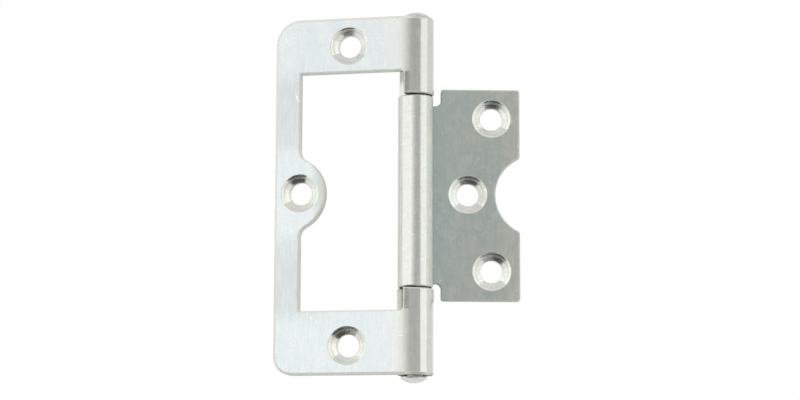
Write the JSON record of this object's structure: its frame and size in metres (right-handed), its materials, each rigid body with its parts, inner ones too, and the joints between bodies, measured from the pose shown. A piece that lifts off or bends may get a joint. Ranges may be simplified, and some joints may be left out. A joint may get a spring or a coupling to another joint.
{
  "type": "flush hinge",
  "caption": "Flush hinge of plated sheet steel: an open frame leaf with a middle lobe, and a notched leaf that folds into its opening, rolled round a riveted pin.",
  "frame": {"origin": "on the flat back of the outer leaf, half way between its two end screw holes", "axes": "+Z along the pin; -Y out of the countersunk front of the outer leaf; +X from the outer leaf across the pin to the inner leaf. The outer leaf lies in the XZ plane, and the inner leaf is open 13.5 degrees past flat."},
  "size_m": [0.0666, 0.0184, 0.1041],
  "materials": {
    "plated_leaf": "bright zinc plating on rolled sheet, satin",
    "plated_pin": "bright zinc plating on a riveted pin, satin"
  },
  "bodies": {
    "outer_leaf": {"outer_leaf": "plated_leaf", "hinge_pin": "plated_pin"},
    "inner_leaf": {"inner_leaf": "plated_leaf"}
  },
  "joints": [
    {"name": "leaf_swing", "type": "hinge", "parent": "outer_leaf", "child": "inner_leaf", "pos_m": [0.0179, 0.00336, 0], "axis": [0, 0, 1], "range_deg": [-193.5, 76.5]}
  ]
}
